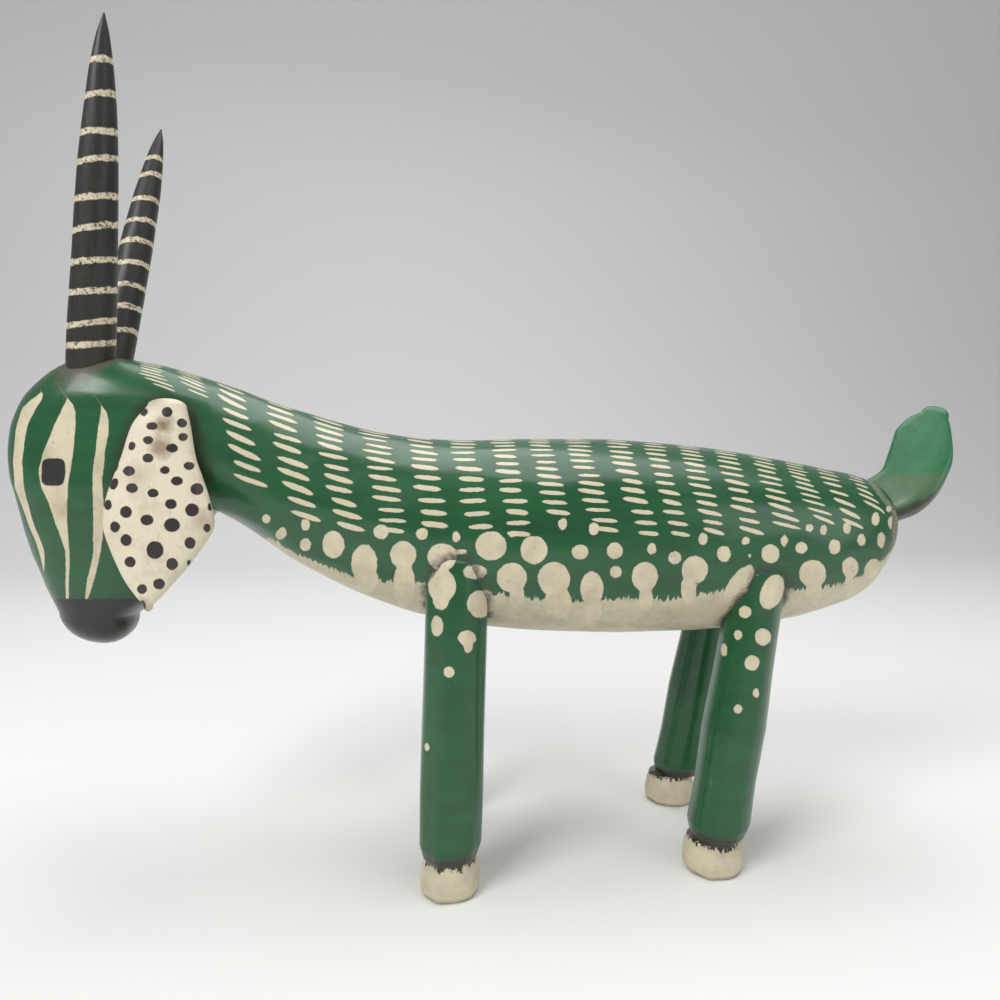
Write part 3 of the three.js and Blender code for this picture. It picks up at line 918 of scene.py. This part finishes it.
def grown_horn(name, base, tip, radius):
    """A whittled horn that Geometry Nodes grow along a line: tapered, with flats, closed."""
    tree = bpy.data.node_groups.new("horn_" + name, "GeometryNodeTree")
    face = tree.interface
    face.new_socket("Geometry", in_out="OUTPUT", socket_type="NodeSocketGeometry")
    sizes = {
        "Seat": ("NodeSocketVector", Vector(base) * MM),
        "Tip": ("NodeSocketVector", Vector(tip) * MM),
        "Radius": ("NodeSocketFloat", radius * MM),
        "Flats": ("NodeSocketInt", 11),
        "Unevenness": ("NodeSocketFloat", 0.6 * MM),
        "Finish": ("NodeSocketMaterial", None),
    }
    for key, (kind, value) in sizes.items():
        socket = face.new_socket(key, in_out="INPUT", socket_type=kind)
        if value is not None and kind != "NodeSocketMaterial":
            socket.default_value = value
    entry = tree.nodes.new("NodeGroupInput")

    def node(kind, settings=None, **values):
        made = tree.nodes.new(kind)
        for key, value in (settings or {}).items():
            setattr(made, key, value)
        for key, value in values.items():
            socket = made.inputs[key.replace("_", " ")]
            if isinstance(value, bpy.types.NodeSocket):
                tree.links.new(value, socket)
            else:
                socket.default_value = value
        return made

    line = node("GeometryNodeCurvePrimitiveLine", Start=entry.outputs["Seat"], End=entry.outputs["Tip"])
    steps = node("GeometryNodeResampleCurve", Curve=line.outputs[0], Count=150)
    along = node("GeometryNodeSplineParameter")
    taper = node("ShaderNodeFloatCurve", Value=along.outputs["Factor"])
    curve = taper.mapping.curves[0]
    length = (Vector(tip) - Vector(base)).length
    full = length + HORN_SEAT
    points = [(0, 1)] + [((HORN_SEAT + share * length) / full, wide) for share, wide in HORN_TAPER]
    curve.points[0].location, curve.points[1].location = points[0], points[-1]
    for point in points[1:-1]:
        curve.points.new(*point)
    for point in curve.points:
        point.handle_type = "AUTO_CLAMPED"
    taper.mapping.update()
    wide = node("ShaderNodeMath", {"operation": "MULTIPLY"})
    tree.links.new(taper.outputs[0], wide.inputs[0])
    tree.links.new(entry.outputs["Radius"], wide.inputs[1])
    ring = node("GeometryNodeCurvePrimitiveCircle", Resolution=66, Radius=1.0)
    swept = node("GeometryNodeCurveToMesh", Curve=steps.outputs[0], Profile_Curve=ring.outputs[0])
    swept.inputs["Fill Caps"].default_value = True
    if "Scale" in swept.inputs:
        tree.links.new(wide.outputs[0], swept.inputs["Scale"])
    else:
        sized = node("GeometryNodeSetCurveRadius", Curve=steps.outputs[0], Radius=wide.outputs[0])
        tree.links.new(sized.outputs[0], swept.inputs["Curve"])
    spot = node("GeometryNodeInputPosition")
    stretch = node("ShaderNodeVectorMath", {"operation": "MULTIPLY"})
    tree.links.new(spot.outputs[0], stretch.inputs[0])
    stretch.inputs[1].default_value = (90, 90, 14)
    cuts = node("ShaderNodeTexVoronoi", {"feature": "F1"}, Vector=stretch.outputs[0], Scale=1.0)
    depth = node("ShaderNodeMath", {"operation": "MULTIPLY"})
    tree.links.new(cuts.outputs["Distance"], depth.inputs[0])
    tree.links.new(entry.outputs["Unevenness"], depth.inputs[1])
    less = node("ShaderNodeMath", {"operation": "SUBTRACT"})
    tree.links.new(depth.outputs[0], less.inputs[0])
    tree.links.new(entry.outputs["Unevenness"], less.inputs[1])
    out = node("GeometryNodeInputNormal")
    move = node("ShaderNodeVectorMath", {"operation": "SCALE"}, Scale=less.outputs[0])
    tree.links.new(out.outputs[0], move.inputs[0])
    carved = node("GeometryNodeSetPosition", Geometry=swept.outputs[0], Offset=move.outputs[0])
    smooth = node("GeometryNodeSetShadeSmooth", Geometry=carved.outputs[0])
    real = node("GeometryNodeRealizeInstances", Geometry=smooth.outputs[0])
    painted = node("GeometryNodeSetMaterial", Geometry=real.outputs[0], Material=entry.outputs["Finish"])
    leave = tree.nodes.new("NodeGroupOutput")
    tree.links.new(painted.outputs[0], leave.inputs[0])
    return tree


def ring_heights(rings, base, tip):
    """Heights along a horn, in millimetres, of rings given by their height in the picture."""
    base, tip = np.array(base, float), np.array(tip, float)
    shares = np.linspace(0, 1, 200)
    heights = in_picture(base + shares[:, None] * (tip - base))[:, 1]
    length = np.linalg.norm(tip - base)
    chance = np.random.default_rng(len(rings))
    return [
        (float(np.interp(-y, -heights, shares * length)), -0.26 + chance.uniform(-0.07, 0.07))
        for y in rings
    ]


def horn_piece(name, rings):
    form = HORNS[name]
    base, tip = shifted(np.array(form["base"], float)), shifted(np.array(form["tip"], float))
    axis = (tip - base) / np.linalg.norm(tip - base)
    finish = horn_finish(name, ring_heights(rings, base, tip), base, tip)
    tree = grown_horn(name, base - axis * HORN_SEAT, tip, form["radius"])
    mesh = bpy.data.meshes.new("horn_seed")
    seed = bpy.data.objects.new("horn_seed", mesh)
    bpy.context.scene.collection.objects.link(seed)
    grower = seed.modifiers.new("grow", "NODES")
    grower.node_group = tree
    for item in tree.interface.items_tree:
        if item.in_out == "INPUT" and item.name == "Finish":
            grower[item.identifier] = finish
    evaluated = seed.evaluated_get(bpy.context.evaluated_depsgraph_get())
    grown = bpy.data.meshes.new_from_object(evaluated)
    bpy.data.objects.remove(seed)
    piece = bpy.data.objects.new(name + "_horn", grown)
    grown.name = name + "_horn"
    bpy.context.scene.collection.objects.link(piece)
    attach(piece, "root")
    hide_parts("horn_" + name)
    return piece


# ---- Ears and tail ----

def turn_about(points, middle, turn):
    matrix = np.array(turn.to_matrix())
    return (points - middle) @ matrix.T + middle


def ear_form(side):
    """A thick leaf-shaped ear on its side of the head, and where its paint is in the picture."""
    rings, girths, first, last = loft(EAR, 1.5, 130, (0, 0, 6), (0, 0, -5))
    points, faces = skin(rings, first, last)
    marks = blade_marks(points, np.array((16, 60, 34)), (1.3, 0.2, 5.5))
    normals = normals_of(points, faces)
    points = points - normals * (0.5 * (1 - marks))[:, None]
    centred = points - (EAR_NAIL[0], 0, EAR_NAIL[2])

    def hung(side, size, swing):
        placed = centred * (size, 1, size)
        turn = Euler((side * EAR_SPREAD, 0, 0)).to_matrix() @ Euler((0, swing, 0)).to_matrix()
        return shifted(placed @ np.array(turn).T + EAR_NAIL * (1, side, 1))

    look = in_picture(hung(-1, 1, 0))
    outward = normals[:, 1] * side
    dots = daubs(look, EAR_DOTS) + 40 * np.clip(0.1 - outward, 0, 1)
    placed = hung(-1, 1, 0) if side < 0 else hung(1, FAR_EAR_SIZE, FAR_EAR_SWING)
    return placed, faces, {"ear": np.column_stack([look, dots])}


def tail_form():
    rings, girths, first, last = loft(TAIL, 1.6, 120, (-10, 0, -8), (4, 0, 8.5))
    points, faces = skin(rings, first, last)
    normals = normals_of(points, faces)
    marks = blade_marks(points, np.array((26, 14, 30)), (0.3, 8.2, 2.5))
    points = points - normals * (0.6 * (1 - marks))[:, None]
    points = shifted(turn_about(points, TAIL_ROOT, Quaternion(Vector(TAIL_LEAN), TAIL_ROLL)))
    look = in_picture(points)
    return points, faces, {"look": np.column_stack([look, 0 * look[:, 0]])}


# ---- Putting the figure together ----

leg_parts = {name: leg_piece(name, form) for name, form in LEGS.items()}
leg_paint = leg_finish()
for name, (points, faces, notes) in leg_parts.items():
    build(name + "_leg", points, faces, leg_paint, "leg_" + name, notes)

ear_parts = {"left": ear_form(-1), "right": ear_form(1)}
ear_paint = ear_finish()
for name, (points, faces, notes) in ear_parts.items():
    build(name + "_ear", points, faces, ear_paint, "ear_" + name, notes)

tail_part = tail_form()
build("leaf_tail", tail_part[0], tail_part[1], tail_finish(), "tail", tail_part[2])

horns = [horn_piece("left", NEAR_RINGS), horn_piece("right", FAR_RINGS)]


def shape_of(piece):
    points = np.array([v.co for v in piece.data.vertices]) / MM
    return points, [list(p.vertices) for p in piece.data.polygons]


joined = [part[:2] for part in leg_parts.values()] + [tail_part[:2]]
log_piece([joined, [shape_of(horn) for horn in horns], [part[:2] for part in ear_parts.values()]])


# ---- Floor, light and camera ----

def sweep():
    """A pale floor that curves up into a plain backdrop."""
    outline = [(-4.0, 0.0)] + [(1.6 + 1.6 * math.sin(a), 1.6 - 1.6 * math.cos(a))
                               for a in np.linspace(0, math.pi / 2, 16)] + [(3.2, 6.0)]
    points = [(x, y, z) for y, z in outline for x in (-6.0, 6.0)]
    faces = [(2 * i, 2 * i + 1, 2 * i + 3, 2 * i + 2) for i in range(len(outline) - 1)]
    mesh = bpy.data.meshes.new("pale_sweep")
    mesh.from_pydata(points, [], faces)
    mesh.polygons.foreach_set("use_smooth", np.ones(len(faces), bool))
    floor = bpy.data.objects.new("pale_sweep", mesh)
    bpy.context.scene.collection.objects.link(floor)
    paper = bpy.data.materials.new("pale_paper")
    paper.use_nodes = True
    surface = paper.node_tree.nodes["Principled BSDF"]
    surface.inputs["Base Color"].default_value = (0.86, 0.86, 0.84, 1)
    surface.inputs["Roughness"].default_value = 0.8
    mesh.materials.append(paper)
    floor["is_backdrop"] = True


def soft_light(name, at, towards, size, power, colour=(1, 1, 1)):
    light = bpy.data.lights.new(name, "AREA")
    light.shape = "RECTANGLE"
    light.size, light.size_y = size
    light.energy = power
    light.color = colour
    lamp = bpy.data.objects.new(name, light)
    lamp.location = at
    lamp.rotation_euler = (Vector(towards) - Vector(at)).to_track_quat("-Z", "Y").to_euler()
    bpy.context.scene.collection.objects.link(lamp)


def photograph_camera():
    right, up, ahead = camera_axes()
    lens = bpy.data.cameras.new("camera")
    lens.sensor_width = 36.0
    lens.lens = 36.0 * FOCAL / PICTURE
    camera = bpy.data.objects.new("camera", lens)
    camera.location = CAMERA_AT * MM
    camera.rotation_euler = Vector(ahead).to_track_quat("-Z", "Y").to_euler()
    bpy.context.scene.collection.objects.link(camera)
    bpy.context.scene.camera = camera


sweep()
soft_light("window", (-1.6, -1.5, 2.0), (0, 0, 0.25), (1.2, 1.2), 42)
soft_light("ceiling", (0.2, 0.2, 2.4), (0, 0, 0), (2.4, 1.6), 34)
soft_light("fill", (1.8, -1.6, 1.0), (0.1, 0, 0.3), (1.4, 1.4), 10)
world = bpy.data.worlds.new("studio")
world.use_nodes = True
world.node_tree.nodes["Background"].inputs["Color"].default_value = (0.95, 0.97, 1.0, 1)
world.node_tree.nodes["Background"].inputs["Strength"].default_value = 0.35
bpy.context.scene.world = world
bpy.context.scene.view_settings.view_transform = "Standard"
photograph_camera()

({
    "cad": [list(corner) for corner in CAD_BOX],
    "visual": [list(corner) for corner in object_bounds()],
})
